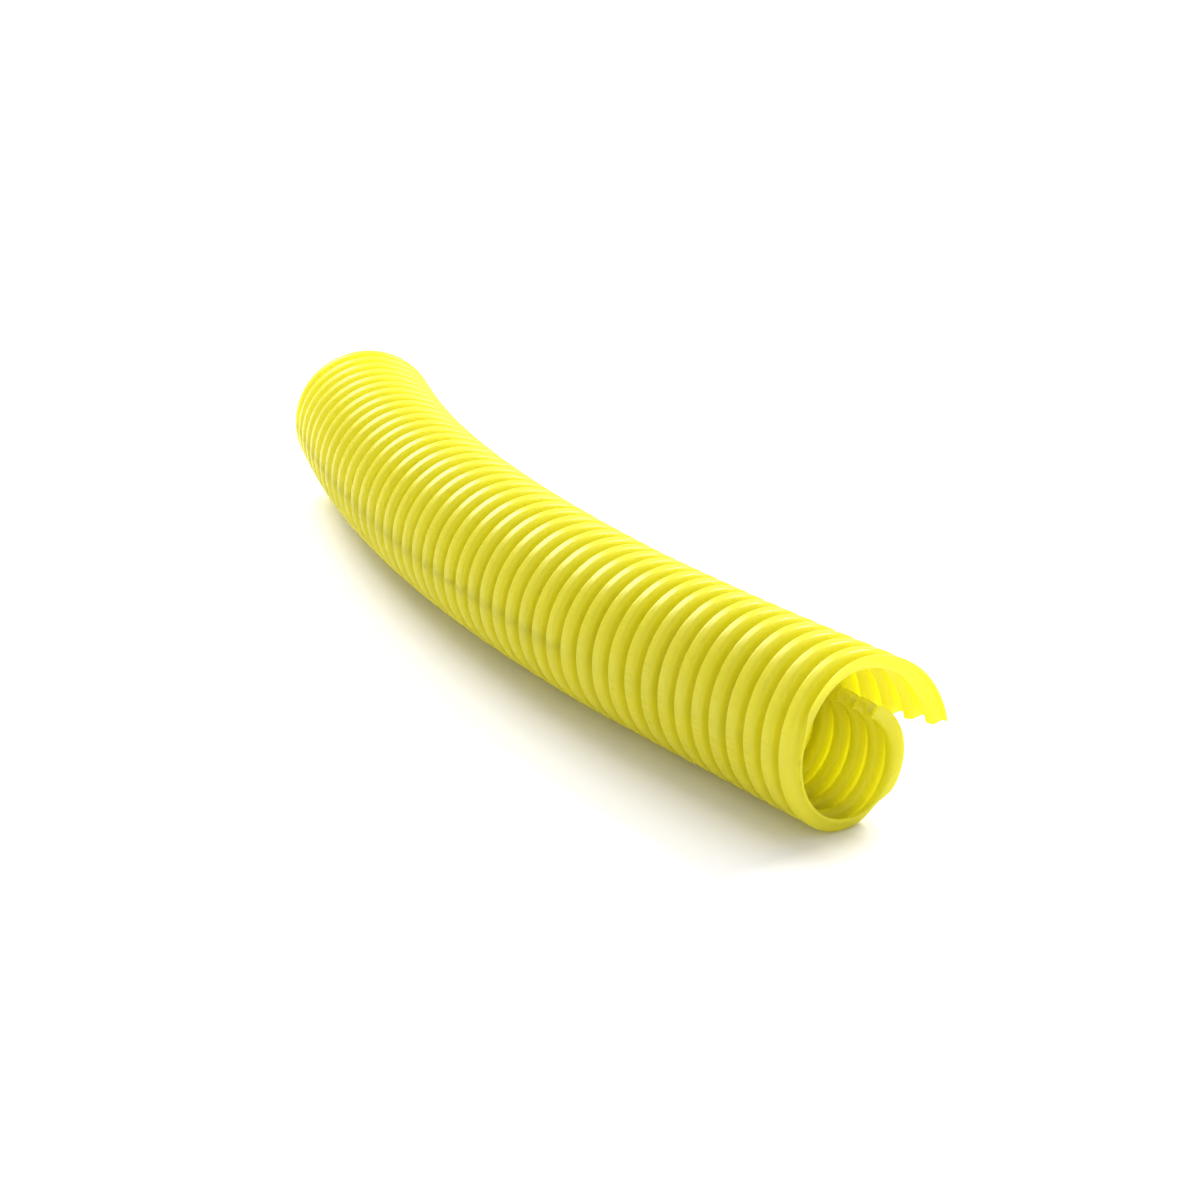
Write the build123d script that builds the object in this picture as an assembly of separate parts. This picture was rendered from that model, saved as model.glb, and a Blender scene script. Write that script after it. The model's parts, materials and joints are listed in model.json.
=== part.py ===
from build123d import *
import os
from math import acos, atan2, cos, degrees, pi, radians, sin, sqrt, tan

# A corrugated sleeve of yellow plastic, slit along one side so that a cable or a hose is
# pressed in sideways.  The real sleeve is one thin moulding that flexes.  Here it is divided
# where it flexes: in the groove after every fourth rib, where it bends, and along the wall
# opposite the slit, where it opens.  Each length between two grooves is a lower shell and an
# upper lip.
#
# Millimetres.  The origin is the centre of the plain end.  +Y points out of that end along
# its axis, +X points to the slit side and +Z is up.  The sleeve lies along -Y and bends.

# Driving dimensions
OUTER_DIAMETER = 28.5
RIB_HEIGHT = 1.9
WALL = 0.5
RIB_PITCH = 4.14
RIBS_PER_SECTION = 4
SECTION_COUNT = 11
TOTAL_TURN = 22.8  # degrees between the axis at the splayed end and at the plain end

# The rib's outline
CREST_WIDTH = 0.56 * RIB_PITCH
GROOVE_FLOOR = 0.26 * RIB_PITCH

# Where two sections meet, the foot of the next flank stops short of the groove's floor, so
# that the groove has room to close on the inside of a bend
FOOT_CLEARANCE = 0.8
FLOOR_OVERLAP = 0.4

# Air between the two lips of the slit, and between the shells at the flexing wall
LIP_GAP = 0.3
HINGE_GAP = 0.3

# The splayed end: past the bottom the lower shell has curled in, and past the top the upper
# lip has sprung out, so that the lips have slipped past each other
LOWER_CURL = 0.20
CURLED_RIBS = 14
UPPER_SPREAD = 0.28
SPREAD_RIBS = 9
LOWER_LIP_TURN = 182.0  # degrees of plain wall from the flexing line to each slipped lip
UPPER_LIP_TURN = 188.0
END_CUT_SLANT = 0.35 * RIB_PITCH  # how much further the end reaches at its top and slit side

# Worked out from the above
RADIUS = OUTER_DIAMETER / 2
SECTION_LENGTH = RIBS_PER_SECTION * RIB_PITCH
WALL_DEPTH = RIB_HEIGHT + WALL


def heading(section):
    """Degrees about +Z from +Y to a section's own axis, easing to zero at the plain end."""
    return TOTAL_TURN * cos(pi / 2 * (section - 1) / (SECTION_COUNT - 1))


def section_start(section):
    """Centre of the groove at a section's splayed side, stepping back from the plain end."""
    x = 0.0
    y = 0.0
    for step in range(SECTION_COUNT, section - 1, -1):
        turn = radians(heading(step))
        x += SECTION_LENGTH * sin(turn)
        y -= SECTION_LENGTH * cos(turn)
    return x, y


def slit_radii(section):
    """The outer radii of the lower shell and the upper lip on the slit side of a section.

    The lower one eases out slowly and the upper one springs back quickly along the sleeve.
    """
    rib = (section - 0.5) * RIBS_PER_SECTION
    curl = LOWER_CURL * max(1 - (rib / CURLED_RIBS) ** 2, 0)
    spread = UPPER_SPREAD * max(1 - rib / SPREAD_RIBS, 0) ** 2
    return RADIUS * (1 - curl), RADIUS * (1 + spread)


def wall_line(section, depth, covered):
    """Points of a line at one depth in the wall, at the side opposite the slit.

    Depth 0 is the outside.  Deeper in, each flank moves towards the middle of its rib by the
    depth times the tangent of half the corner's turn.  Where the groove after the section is
    covered, its floor goes on under the next section's first rib.
    """
    crest = -RADIUS + depth
    floor = -RADIUS + RIB_HEIGHT + depth
    foot = -RADIUS + RIB_HEIGHT - FOOT_CLEARANCE
    half_groove = (RIB_PITCH - CREST_WIDTH) / 2
    flank_run = half_groove - GROOVE_FLOOR / 2
    inset = depth * tan(atan2(RIB_HEIGHT, flank_run) / 2)
    crest_edge = half_groove + inset
    floor_edge = GROOVE_FLOOR / 2 + inset
    foot_edge = floor_edge + flank_run * (FOOT_CLEARANCE + depth) / RIB_HEIGHT
    if section == 1:
        points = [(crest, -END_CUT_SLANT - half_groove), (crest, -crest_edge)]
        points += [(floor, -floor_edge), (floor, floor_edge)]
    else:
        points = [(foot, foot_edge)]
    for rib in range(1, RIBS_PER_SECTION + 1):
        start = (rib - 1) * RIB_PITCH
        end = rib * RIB_PITCH
        points += [(crest, start + crest_edge), (crest, end - crest_edge)]
        if rib < RIBS_PER_SECTION:
            points += [(floor, end - floor_edge), (floor, end + floor_edge)]
    if covered:
        points += [(floor, SECTION_LENGTH - floor_edge), (floor, floor_end(section))]
    else:
        points.append((foot, SECTION_LENGTH - foot_edge))
    return points


def floor_end(section):
    """Where the floor of the groove after a section ends."""
    if section == SECTION_COUNT:
        return SECTION_LENGTH
    return SECTION_LENGTH + GROOVE_FLOOR / 2 + WALL + FLOOR_OVERLAP


def wall_profile(section, covered):
    """The wall cut through along its length, a ribbed strip as thick as the wall."""
    outer = wall_line(section, 0, covered)
    inner = wall_line(section, WALL, covered)
    return make_face(Polyline(*outer, *reversed(inner), close=True))


def shell(section, radius, turn, side):
    """The wall turned from the flexing line, down to the slit (-1) or up and over to it (+1).

    It turns a quarter on the plain radius, and the rest on the slit side's own radius.  The
    upper lip's last groove floor stops short while it is sprung out, because each section is
    then narrower than the last and a floor would run into the next rib.
    """
    covered = side < 0 or radius == RADIUS
    profile = wall_profile(section, covered)
    gap = degrees(HINGE_GAP / 2 / RADIUS)
    solid = revolve(profile.rotate(Axis.Y, side * gap), Axis.Y, side * (90 - gap)).solid()
    slit_axis = Axis((0, 0, side * (RADIUS - radius)), (0, 1, 0))
    solid = solid + revolve(profile.rotate(Axis.Y, side * 90), slit_axis, side * turn).solid()
    if section == 1:
        solid = cut_end(solid)
    return solid


def cut_end(solid):
    """The splayed end is cut on a slant, so that a piece of one more rib is left at its top.

    The cut lies in the groove's floor at the flexing line and at the bottom.
    """
    slope = END_CUT_SLANT / OUTER_DIAMETER
    plane = Plane(origin=(-RADIUS, 0, 0), z_dir=(slope, 1, slope))
    return solid.split(plane, keep=Keep.TOP)


def slit_turns(lower_radius, upper_radius):
    """Degrees that the two shells turn through on the slit side.

    Where the upper lip's inside clears the lower lip's outside, the lips have slipped past
    each other, and each keeps its real length round the wall.  Elsewhere both stop short of
    the sleeve's middle level by half the gap.
    """
    lower_reach = sqrt(lower_radius**2 - (RADIUS - lower_radius) ** 2)
    upper_reach = sqrt((upper_radius - WALL_DEPTH) ** 2 - (upper_radius - RADIUS) ** 2)
    if upper_reach > lower_reach + LIP_GAP:
        lower = (LOWER_LIP_TURN - 90) * RADIUS / lower_radius
        upper = (UPPER_LIP_TURN - 90) * RADIUS / upper_radius
        return lower, upper
    drop = RADIUS - LIP_GAP / 2
    return tuple(degrees(acos(1 - drop / radius)) for radius in (lower_radius, upper_radius))


def build_section(section):
    """The lower shell and the upper lip of one section, in place."""
    lower_radius, upper_radius = slit_radii(section)
    lower_turn, upper_turn = slit_turns(lower_radius, upper_radius)
    x, y = section_start(section)
    place = Location((x, y, 0), (0, 0, heading(section)))
    return {
        f"lower_shell_{section:02d}": place * shell(section, lower_radius, lower_turn, -1),
        f"upper_lip_{section:02d}": place * shell(section, upper_radius, upper_turn, 1),
    }


os.makedirs("parts", exist_ok=True)
for section in range(1, SECTION_COUNT + 1):
    for name, solid in build_section(section).items():
        solid.label = name
        export_step(solid, f"parts/{name}.step")
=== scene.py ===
import bmesh
import bpy
import json
import math
import numpy as np
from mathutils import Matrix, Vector


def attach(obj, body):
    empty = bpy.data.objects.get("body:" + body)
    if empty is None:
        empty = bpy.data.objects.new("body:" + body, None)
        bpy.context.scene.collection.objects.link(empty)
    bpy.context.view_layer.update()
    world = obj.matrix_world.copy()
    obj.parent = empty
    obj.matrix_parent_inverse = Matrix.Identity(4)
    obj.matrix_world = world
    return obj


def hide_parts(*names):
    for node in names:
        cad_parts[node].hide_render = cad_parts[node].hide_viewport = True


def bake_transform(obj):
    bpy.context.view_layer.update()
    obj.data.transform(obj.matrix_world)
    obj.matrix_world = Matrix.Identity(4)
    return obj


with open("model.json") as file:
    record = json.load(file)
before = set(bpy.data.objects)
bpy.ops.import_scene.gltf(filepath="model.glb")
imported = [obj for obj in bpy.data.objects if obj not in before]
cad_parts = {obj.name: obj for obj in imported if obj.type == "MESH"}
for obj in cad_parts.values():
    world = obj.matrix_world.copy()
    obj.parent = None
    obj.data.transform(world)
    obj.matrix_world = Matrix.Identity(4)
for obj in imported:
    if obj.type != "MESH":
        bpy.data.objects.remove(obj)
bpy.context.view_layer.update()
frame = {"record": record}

# ---------------------------------------------------------------------------------------
# The sleeve's line
# The sleeve is extruded straight and has taken a gentle bend in its coil.  Its sections
# meet at grooves, and between them its axis is drawn here as one smooth curve that turns
# evenly from each section's heading to the next.
# ---------------------------------------------------------------------------------------
MM = 0.001
RIBS_PER_SECTION = 4
LINE_STEP = 0.1 * MM
RIBS_BEYOND_END = 2

record = frame["record"]
joints = {joint["name"]: joint for joint in record["behaviour"]["joints"]}
mounts = {mount["name"]: mount for mount in record["mounts"]}
section_count = sum(name.startswith("slit_") for name in joints)
radius = mounts["clip_ribs"]["dims"]["r_mm"] * MM
wall_depth = radius - mounts["plain_end_bore"]["dims"]["r_mm"] * MM


def flexing_line(section):
    """Where a section's flexing line starts, and the unit vector along it to the plain end."""
    joint = joints[f"slit_{section:02d}"]
    return np.array(joint["pos_m"]), -np.array(joint["axis"])


section_headings = []
section_starts = []
for section in range(1, section_count + 1):
    start, ahead = flexing_line(section)
    section_headings.append(math.atan2(-ahead[0], ahead[1]))
    section_starts.append(start + radius * np.array((ahead[1], -ahead[0], 0)))
section_length = float(np.linalg.norm(section_starts[1] - section_starts[0]))
rib_pitch = section_length / RIBS_PER_SECTION
sleeve_length = section_count * section_length

line_stations = np.arange(-RIBS_BEYOND_END * rib_pitch, sleeve_length + LINE_STEP, LINE_STEP)
middles = (np.arange(section_count) + 0.5) * section_length
line_headings = np.interp(line_stations, middles, section_headings)
line_x = np.cumsum(-np.sin(line_headings)) * LINE_STEP
line_y = np.cumsum(np.cos(line_headings)) * LINE_STEP
line_x -= np.interp(sleeve_length, line_stations, line_x)
line_y -= np.interp(sleeve_length, line_stations, line_y)


def on_sleeve(station, across, up):
    """Points given by the distance along the axis, to the slit side and upwards.

    The place is the axis's own point at that distance plus the across vector, which is the
    heading turned a quarter turn towards the slit.
    """
    angle = np.interp(station, line_stations, line_headings)
    x = np.interp(station, line_stations, line_x) + across * np.cos(angle)
    y = np.interp(station, line_stations, line_y) + across * np.sin(angle)
    return np.stack([x, y, up + 0 * station], axis=-1)


# ---------------------------------------------------------------------------------------
# Camera
# A short telephoto lens stands at the splayed end and looks down along the sleeve.
# ---------------------------------------------------------------------------------------
CAMERA_LENS = 91.2
CAMERA_AZIMUTH = math.radians(14.25)
CAMERA_ELEVATION = math.radians(22.0)
CAMERA_DISTANCE = 519.4 * MM
LOOK_AT = (21.6, -107.1, 0.0)

camera_data = bpy.data.cameras.new("camera")
camera_data.lens = CAMERA_LENS
camera = bpy.data.objects.new("camera", camera_data)
bpy.context.scene.collection.objects.link(camera)
level = math.cos(CAMERA_ELEVATION)
away = Vector((
    -math.sin(CAMERA_AZIMUTH) * level,
    -math.cos(CAMERA_AZIMUTH) * level,
    math.sin(CAMERA_ELEVATION),
))
camera.location = Vector(LOOK_AT) * MM + away * CAMERA_DISTANCE
camera.rotation_euler = (-away).to_track_quat("-Z", "Y").to_euler()
bpy.context.scene.camera = camera

# ---------------------------------------------------------------------------------------
# The ribbed wall
# The wall is half a millimetre of plastic, blown against ribbed moulds as it leaves the
# die.  Each rib is hollow with a rounded top, and narrow grooves part the ribs.
# ---------------------------------------------------------------------------------------
RIB_HEIGHT = 1.9 * MM
CREST_SHARE = 0.56
FLOOR_SHARE = 0.26
CREST_ROUND = 0.75 * MM
GROOVE_ROUND = 0.35 * MM
OUTLINE_STEPS = 4
FLOOR_UNDERLAP = 0.9 * MM  # how far a section's last floor runs on past its half of the groove
UNDERLAP_START = 0.3  # share of the run-on at which the floor has dipped by one feather
FEATHER = 0.02 * MM

wall = wall_depth - RIB_HEIGHT
half_floor = FLOOR_SHARE * rib_pitch / 2
half_groove = (1 - CREST_SHARE) * rib_pitch / 2
flank_slope = math.atan2(RIB_HEIGHT, half_groove - half_floor)


def rib_outline():
    """One rib from groove middle to groove middle: distances, heights and slopes.

    The outline's slope is nothing on floor and crest and steep on the flanks, and it turns
    evenly round each corner.  Its points are the running sum of short chords along that
    slope.
    """
    cut_off = math.tan(flank_slope / 2)
    rounds = (GROOVE_ROUND + CREST_ROUND) * (1 - math.cos(flank_slope))
    flank = (RIB_HEIGHT - rounds) / math.sin(flank_slope)
    half = [
        half_floor - GROOVE_ROUND * cut_off,
        GROOVE_ROUND * flank_slope,
        flank,
        CREST_ROUND * flank_slope,
        CREST_SHARE * rib_pitch / 2 - CREST_ROUND * cut_off,
    ]
    lengths = np.array(half + half[::-1])
    corners = np.concatenate([[0], np.cumsum(lengths)])
    slopes = np.array([0, 0, 1, 1, 0, 0, 0, -1, -1, 0, 0]) * flank_slope
    count = len(lengths)
    marks = np.interp(np.arange(count * OUTLINE_STEPS + 1) / OUTLINE_STEPS, np.arange(count + 1), corners)
    slope = np.interp(marks, corners, slopes)
    middle = (slope[1:] + slope[:-1]) / 2
    chord = np.diff(marks) * np.sinc((slope[1:] - slope[:-1]) / 2 / math.pi)
    along = np.concatenate([[0], np.cumsum(chord * np.cos(middle))])
    height = np.concatenate([[0], np.cumsum(chord * np.sin(middle))])
    return along * rib_pitch / along[-1], height, slope


outline_along, outline_height, outline_slope = rib_outline()


def section_outline(section):
    """Outer and inner lines of a section's wall, as distances along the axis and heights.

    The inner line is the outer one moved in by the wall's thickness, square to it.  A
    section's first flank stands on the last floor of the section before it, so its foot is
    feathered out there, and its own last floor runs on under the next rib.
    """
    first = (section - 1) * RIBS_PER_SECTION
    ribs = np.arange(first - (section == 1), first + RIBS_PER_SECTION)
    along = (ribs[:, None] * rib_pitch + outline_along[None, :-1]).ravel()
    height = np.tile(outline_height[:-1], len(ribs))
    slope = np.tile(outline_slope[:-1], len(ribs))
    end = (first + RIBS_PER_SECTION) * rib_pitch
    along = np.append(along, end)
    height = np.append(height, 0.0)
    slope = np.append(slope, 0.0)
    if section < section_count:
        run_on = np.array([UNDERLAP_START, 1.0]) * (half_floor + FLOOR_UNDERLAP)
        along = np.append(along, end + run_on)
        height = np.append(height, [-FEATHER, -2 * FEATHER])
        slope = np.append(slope, [0.0, 0.0])
    if section > 1:
        along, height, slope = (line[OUTLINE_STEPS:] for line in (along, height, slope))
    inner_along = along + wall * np.sin(slope)
    inner_height = height - wall * np.cos(slope)
    if section > 1:
        foot = along < first * rib_pitch + half_groove + CREST_ROUND
        inner_height = np.where(foot, np.maximum(inner_height, -FEATHER / 2), inner_height)
    return along, height, inner_along, inner_height


# ---------------------------------------------------------------------------------------
# How the sleeve has opened at its splayed end
# The lips have slipped past each other, as when a cable is pulled out.  Past the bottom the
# lower wall has curled in under the upper one, which has sprung out past the top, and the
# sleeve has become an oval, narrower across than it is high.
# ---------------------------------------------------------------------------------------
LOWER_CURL = 0.27  # share of the radius that the lower wall loses, and over how many ribs
CURLED_RIBS = 14
UPPER_SPREAD = 0.45  # share of the radius that the upper wall gains, and over how many ribs
SPREAD_RIBS = 9
OVAL_SQUEEZE = 0.11  # shares by which the oval is narrower and higher, and over how many ribs
OVAL_LIFT = 0.045
OVAL_RIBS = 14
LOWER_LIP_TURN = math.radians(206)  # plain wall from the flexing line to each slipped lip
UPPER_LIP_TURN = math.radians(194)
LIP_GAP = 0.25 * MM  # air between the lips where they meet
SLIPPED_RIBS = (8.0, 11.0)  # the ribs between which the lips go from slipped to meeting


def slit_radius(station, side):
    """The outer radius on the slit side of the lower wall (-1) or the upper one (+1).

    The lower wall's curl falls off with the square of the distance along, so slowly at
    first.  The upper one's spread falls off as the square of what is left, so quickly.
    """
    rib = np.maximum(station / rib_pitch, 0)
    if side < 0:
        return radius * (1 - LOWER_CURL * np.maximum(1 - (rib / CURLED_RIBS) ** 2, 0))
    return radius * (1 + UPPER_SPREAD * np.maximum(1 - rib / SPREAD_RIBS, 0) ** 2)


def slit_turn(station, side):
    """The angle that a wall turns through on the slit side, from its quarter turn to its lip.

    Where the lips have slipped it is the plain wall's length over the slit side's radius.
    Where they meet, both stop half a gap short of the sleeve's middle level.  Between the
    two, one eases into the other.
    """
    own = slit_radius(station, side)
    plain = LOWER_LIP_TURN if side < 0 else UPPER_LIP_TURN
    free = radius * (plain - math.pi / 2) / own
    met = np.arccos(np.clip(1 - (radius - LIP_GAP / 2) / own, -1, 1))
    ease = (station / rib_pitch - SLIPPED_RIBS[0]) / (SLIPPED_RIBS[1] - SLIPPED_RIBS[0])
    ease = np.clip(ease, 0, 1)
    return free + (met - free) * ease * ease * (3 - 2 * ease)


def wall_point(station, height, share, side):
    """A point of the wall: distance along, height over the groove floor, share of its way.

    The first half of the way is a quarter turn about the sleeve's axis from the flexing
    line.  The second half is the slit side's turn about an axis straight above the bottom,
    or below the top, that makes the two circles touch there.  Last, the oval draws the wall
    in towards the axis and stretches it upwards from the bottom.
    """
    quarter = np.clip(share * 2, 0, 1) * math.pi / 2
    turn = np.clip(share * 2 - 1, 0, 1) * slit_turn(station, side)
    plain_reach = radius - RIB_HEIGHT + height
    own_reach = slit_radius(station, side) - RIB_HEIGHT + height
    past = share > 0.5
    across = np.where(past, own_reach * np.sin(turn), -plain_reach * np.cos(quarter))
    level = radius - slit_radius(station, side)
    up = side * np.where(past, level + own_reach * np.cos(turn), plain_reach * np.sin(quarter))
    oval = np.maximum(1 - (np.maximum(station / rib_pitch, 0) / OVAL_RIBS) ** 2, 0)
    across = across * (1 - OVAL_SQUEEZE * oval)
    up = (up + radius) * (1 + OVAL_LIFT * oval) - radius
    return on_sleeve(station, across, up)


# ---------------------------------------------------------------------------------------
# Plastic
# Translucent yellow plastic with a soft gloss.  The die leaves fine lines along the
# sleeve, the crests are smoother than the grooves, and the wall has a faint cloudiness
# and a few specks of burnt material.  The grooves are painted a darker yellow as painted
# shade, and the crests a paler one as a painted highlight.
# ---------------------------------------------------------------------------------------
# Painted shade and painted highlight: a darker yellow for the grooves and a paler one for the crests.
SHADED_GROOVE_YELLOW = (0.78, 0.75, 0.016, 1)
HIGHLIT_CREST_YELLOW = (0.86, 0.825, 0.060, 1)
LIT_YELLOW = (0.94, 0.91, 0.08, 1)
CLOUD_YELLOW = (0.88, 0.85, 0.13, 1)
SPECK_BROWN = (0.05, 0.03, 0.005, 1)
TRANSLUCENT_SHARE = 0.58  # on a crest
GROOVE_DULLS = 0.10  # share of the light through the wall that a groove loses
DIE_LINES = ((1.0, 0.06, 1.0), 1.6)  # stretch of the unrolled wall, then lines per millimetre
FINE_LINES = ((1.0, 0.03, 1.0), 5.0)
UNSTRETCHED = (1.0, 1.0, 1.0)
CLOUD_SCALE = 90.0  # per metre
GRAIN_SCALE = 1500.0
CLOUD_GAIN = 0.9
CLOUD_CUT = 0.2
SPECK_DENSITY = 0.045  # per millimetre of wall, each way
SPECK_SIZE = 0.013  # share of the room that each speck has
ROUGHNESS = 0.20
CLOUD_ROUGHENS = 0.08
GROOVE_ROUGHENS = 0.14
LINES_ROUGHEN = 0.08
DIE_SHARE = 0.6  # shares of the bump
FINE_SHARE = 0.3
GRAIN_SHARE = 0.1
BUMP_STRENGTH = 0.22
BUMP_HEIGHT = 0.12 * MM
PLASTIC_IOR = 1.5


class Socket:
    """A shader value that adds a Math node for each operator used on it."""

    def __init__(self, tree, link):
        self.tree = tree
        self.link = link

    def node(self, kind, settings=None, **values):
        """Any other node, with its settings first and then its sockets by name."""
        made = self.tree.nodes.new(kind)
        for name, value in (settings or {}).items():
            setattr(made, name, value)
        for name, value in values.items():
            plug = made.inputs[int(name[1:])] if name[0] == "_" else made.inputs[name.replace("_", " ")]
            if isinstance(value, Socket):
                self.tree.links.new(value.link, plug)
            else:
                plug.default_value = value
        return made

    def out(self, node, name=0):
        return Socket(self.tree, node.outputs[name])

    def math(self, operation, other, swap=False):
        pair = (other, self) if swap else (self, other)
        return self.out(self.node("ShaderNodeMath", {"operation": operation}, _0=pair[0], _1=pair[1]))

    def __add__(self, other):
        return self.math("ADD", other)

    def __mul__(self, other):
        return self.math("MULTIPLY", other)

    def __sub__(self, other):
        return self.math("SUBTRACT", other)

    def __rsub__(self, other):
        return self.math("SUBTRACT", other, swap=True)

    def __gt__(self, other):
        return self.math("GREATER_THAN", other)

    def mix(self, low, high):
        """The colour low where this value is 0 and high where it is 1."""
        blended = self.node("ShaderNodeMix", {"data_type": "RGBA"}, _0=self, _6=low, _7=high)
        return self.out(blended, 2)

    __radd__ = __add__
    __rmul__ = __mul__


def sleeve_plastic():
    """The sleeve's plastic.

    Its lines and specks follow the wall, unrolled flat in millimetres, and its cloudiness and
    grain fill the wall's own space.
    """
    material = bpy.data.materials.new("sleeve_plastic")
    material.use_nodes = True
    tree = material.node_tree
    tree.nodes.clear()
    start = Socket(tree, None)
    unrolled = start.out(start.node("ShaderNodeUVMap", {"uv_map": "unrolled"}), "UV")
    height = start.out(start.node("ShaderNodeAttribute", {"attribute_name": "rib_height"}), "Fac")
    place = start.out(start.node("ShaderNodeTexCoord"), "Object")

    def noise(vector, stretch, scale, detail, roughness=0.5):
        spread = start.node("ShaderNodeMapping", None, Vector=vector, Scale=stretch)
        made = start.node(
            "ShaderNodeTexNoise", None, Vector=start.out(spread), Scale=scale,
            Detail=detail, Roughness=roughness,
        )
        return start.out(made, "Fac")

    die_lines = noise(unrolled, *DIE_LINES, detail=4.0, roughness=0.65)
    fine_lines = noise(unrolled, *FINE_LINES, detail=2.0)
    cloud = noise(place, UNSTRETCHED, CLOUD_SCALE, detail=3.0)
    grain = noise(place, UNSTRETCHED, GRAIN_SCALE, detail=2.0)

    # Painted shade in the grooves and a painted highlight on the crests, blended by rib height.
    crest = height.mix(SHADED_GROOVE_YELLOW, HIGHLIT_CREST_YELLOW)
    cloudy = (cloud * CLOUD_GAIN - CLOUD_CUT).mix(crest, CLOUD_YELLOW)
    scattered = start.node(
        "ShaderNodeTexVoronoi", {"feature": "F1"}, Vector=unrolled, Scale=SPECK_DENSITY,
        Randomness=1.0,
    )
    speck = 1 - (start.out(scattered, "Distance") > SPECK_SIZE)
    colour = speck.mix(cloudy, SPECK_BROWN)

    uneven = cloud * CLOUD_ROUGHENS + (1 - height) * GROOVE_ROUGHENS + die_lines * LINES_ROUGHEN
    roughness = ROUGHNESS + uneven
    bump_height = die_lines * DIE_SHARE + fine_lines * FINE_SHARE + grain * GRAIN_SHARE
    bump = start.node(
        "ShaderNodeBump", None, Strength=BUMP_STRENGTH, Distance=BUMP_HEIGHT, Height=bump_height,
    )
    body = start.node(
        "ShaderNodeBsdfPrincipled", None, Base_Color=colour, Roughness=roughness,
        IOR=PLASTIC_IOR, Normal=start.out(bump),
    )
    glow = start.node("ShaderNodeBsdfTranslucent", None, Color=LIT_YELLOW)
    share = (TRANSLUCENT_SHARE - GROOVE_DULLS * (1 - height)) * (1 - speck)
    mixed = start.node("ShaderNodeMixShader", None, _0=share, _1=start.out(body), _2=start.out(glow))
    start.node("ShaderNodeOutputMaterial", None, Surface=start.out(mixed))
    return material


plastic = sleeve_plastic()

# ---------------------------------------------------------------------------------------
# Lower shells and upper lips
# The sleeve is one moulding.  Each length between two flexing grooves is made here as the
# wall below the flexing line and the wall that goes up and over from it to the slit.  The
# upper wall would bend away from the lower one at the flexing line, but here it is fixed in place.
# ---------------------------------------------------------------------------------------
WALL_STEPS = 72
SHARP_EDGE = math.radians(50)
FLEX_REACH = (0.7, 0.75)  # a point across and up from the flexing line, in radii, that is worked out but not used
END_CUT_SLANT = 0.45  # how much further the end reaches at its top and slit side, in ribs


def wall_mesh(name, section, side):
    """One wall of one section, as a closed mesh.

    The wall's outline, out along its outer line and back along its inner one, is carried
    round from the flexing line to the lip, and strips between the two lines close both
    ends.
    """
    along, height, inner_along, inner_height = section_outline(section)
    loop_along = np.concatenate([along, inner_along[::-1]])
    loop_height = np.concatenate([height, inner_height[::-1]])
    share = np.linspace(0, 1, WALL_STEPS + 1)
    grid = wall_point(loop_along[:, None], loop_height[:, None], share[None, :], side)
    around = len(loop_along)
    count = len(along)
    index = np.arange(grid.shape[0] * grid.shape[1]).reshape(grid.shape[:2])
    here = index[:, :-1]
    after = np.roll(index, -1, axis=0)
    quads = np.stack([here, after[:, :-1], after[:, 1:], index[:, 1:]], axis=-1).reshape(-1, 4)
    outer = np.arange(count - 1)
    inner = around - 1 - outer
    caps = []
    for column in (0, WALL_STEPS):
        strip = np.stack([index[outer, column], index[inner, column],
                          index[inner - 1, column], index[outer + 1, column]], axis=-1)
        caps.append(strip if column == 0 else strip[:, ::-1])
    faces = np.concatenate([quads] + caps)
    if side > 0:
        faces = faces[:, ::-1]
    mesh = bpy.data.meshes.new(name)
    mesh.from_pydata(grid.reshape(-1, 3), [], faces.tolist())
    quarter = np.clip(share[None, :] * 2, 0, 1) * math.pi / 2
    past = np.clip(share[None, :] * 2 - 1, 0, 1) * slit_turn(loop_along[:, None], side)
    turned = radius * quarter + slit_radius(loop_along[:, None], side) * past
    unroll = np.stack([side * turned, np.broadcast_to(loop_along[:, None], turned.shape)], axis=-1) / MM
    corner = np.empty(len(mesh.loops), dtype=np.int32)
    mesh.loops.foreach_get("vertex_index", corner)
    layer = mesh.uv_layers.new(name="unrolled")
    layer.uv.foreach_set("vector", unroll.reshape(-1, 2)[corner].astype(np.float32).ravel())
    level = np.clip(loop_height / RIB_HEIGHT, 0, 1)
    crest = mesh.attributes.new("rib_height", "FLOAT", "POINT")
    crest.data.foreach_set("value", np.repeat(level, len(share)).astype(np.float32))
    return mesh


def cut_splayed_end(mesh):
    """Cuts the splayed end on a slant across the sleeve, and closes the cut wall."""
    start, ahead = flexing_line(1)
    across = np.array((ahead[1], -ahead[0], 0))
    upwards = np.array((0, 0, 1))
    slope = END_CUT_SLANT * rib_pitch / (2 * radius)
    form = bmesh.new()
    form.from_mesh(mesh)
    parts = form.verts[:] + form.edges[:] + form.faces[:]
    cut = bmesh.ops.bisect_plane(
        form, geom=parts, plane_co=start, plane_no=ahead + slope * (across + upwards),
        clear_inner=True,
    )
    edges = [part for part in cut["geom_cut"] if isinstance(part, bmesh.types.BMEdge)]
    bmesh.ops.holes_fill(form, edges=edges, sides=0)
    bmesh.ops.recalc_face_normals(form, faces=form.faces[:])
    form.to_mesh(mesh)
    form.free()


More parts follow.
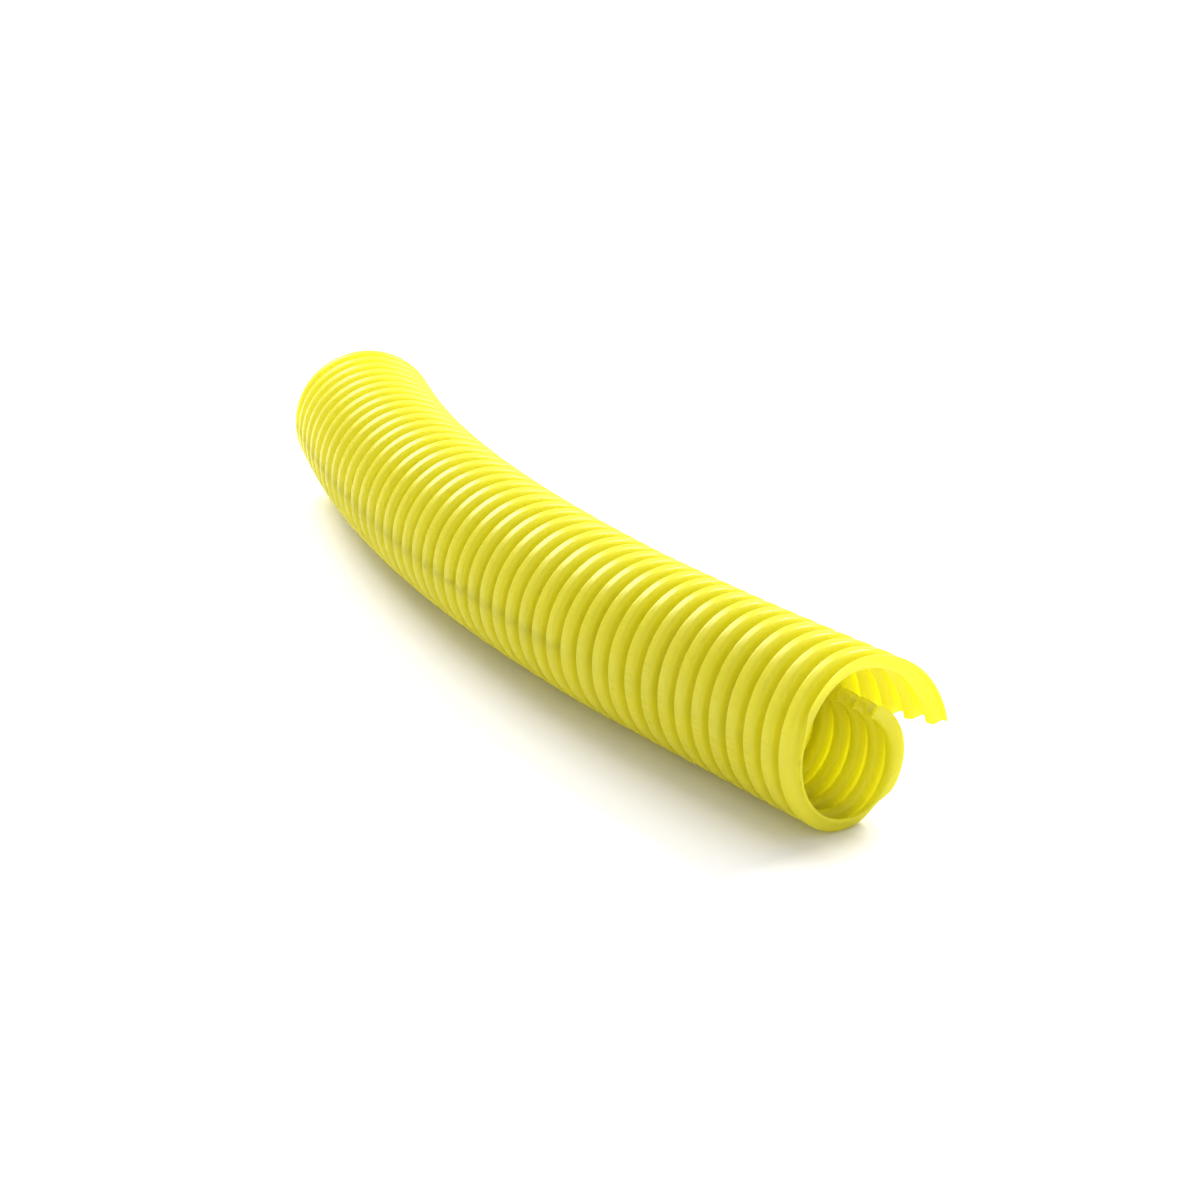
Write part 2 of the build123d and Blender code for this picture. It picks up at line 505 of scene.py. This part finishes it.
def wall_piece(section, side):
    """One wall of one section: its mesh, its plastic and the body or bodies it follows.

    The lower wall rides on its own shell.  The upper one follows no body and is fixed where it
    is made.
    """
    kind = "upper_lip" if side > 0 else "lower_shell"
    node = f"{kind}_{section:02d}"
    mesh = wall_mesh(f"{node}_wall", section, side)
    if section == 1:
        cut_splayed_end(mesh)
    mesh.polygons.foreach_set("use_smooth", np.ones(len(mesh.polygons), dtype=bool))
    mesh.set_sharp_from_angle(angle=SHARP_EDGE)
    mesh.materials.append(plastic)
    piece = bpy.data.objects.new(f"{node}_wall", mesh)
    bpy.context.scene.collection.objects.link(piece)
    lower = f"lower_shell_{section:02d}"
    if side > 0:
        start, ahead = flexing_line(section)
        across = np.array((ahead[1], -ahead[0], 0))
        end = start + radius * (FLEX_REACH[0] * across + FLEX_REACH[1] * np.array((0, 0, 1)))
        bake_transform(piece)
    else:
        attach(piece, lower)
    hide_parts(node)


for section in range(1, section_count + 1):
    wall_piece(section, -1)
    wall_piece(section, 1)

# ---------------------------------------------------------------------------------------
# Stage
# A flat white table in an even white room, with one soft light at the right and another
# behind, which shines through the wall.
# ---------------------------------------------------------------------------------------
TABLE_SIZE = 4.0
TABLE_WHITE = (0.92, 0.91, 0.92, 1)
TABLE_ROUGHNESS = 0.6
LIGHTS_AIM = (0.02, -0.10, 0.0)
ROOM_WHITE = (1, 0.99, 1, 1)
ROOM_BRIGHTNESS = 0.74


def table():
    """A wide flat table just under the sleeve."""
    edge = TABLE_SIZE / 2
    mesh = bpy.data.meshes.new("table")
    level = -radius
    corners = [(-edge, -edge, level), (edge, -edge, level), (edge, edge, level), (-edge, edge, level)]
    mesh.from_pydata(corners, [], [(0, 1, 2, 3)])
    material = bpy.data.materials.new("table_white")
    material.use_nodes = True
    shader = material.node_tree.nodes["Principled BSDF"]
    shader.inputs["Base Color"].default_value = TABLE_WHITE
    shader.inputs["Roughness"].default_value = TABLE_ROUGHNESS
    mesh.materials.append(material)
    piece = bpy.data.objects.new("table", mesh)
    bpy.context.scene.collection.objects.link(piece)


def area_light(name, place, size, power):
    """A square soft light at a place, turned to face the sleeve."""
    data = bpy.data.lights.new(name, "AREA")
    data.size = size
    data.energy = power
    light = bpy.data.objects.new(name, data)
    light.location = place
    light.rotation_euler = (Vector(LIGHTS_AIM) - Vector(place)).to_track_quat("-Z", "Y").to_euler()
    bpy.context.scene.collection.objects.link(light)


table()
area_light("light_right", (0.50, 0.12, 0.55), 0.30, 8.0)
area_light("light_behind", (-0.20, 0.60, 0.50), 0.40, 6.8)
world = bpy.data.worlds.new("studio")
world.use_nodes = True
world.node_tree.nodes["Background"].inputs["Color"].default_value = ROOM_WHITE
world.node_tree.nodes["Background"].inputs["Strength"].default_value = ROOM_BRIGHTNESS
bpy.context.scene.world = world
bpy.context.scene.view_settings.view_transform = "Standard"
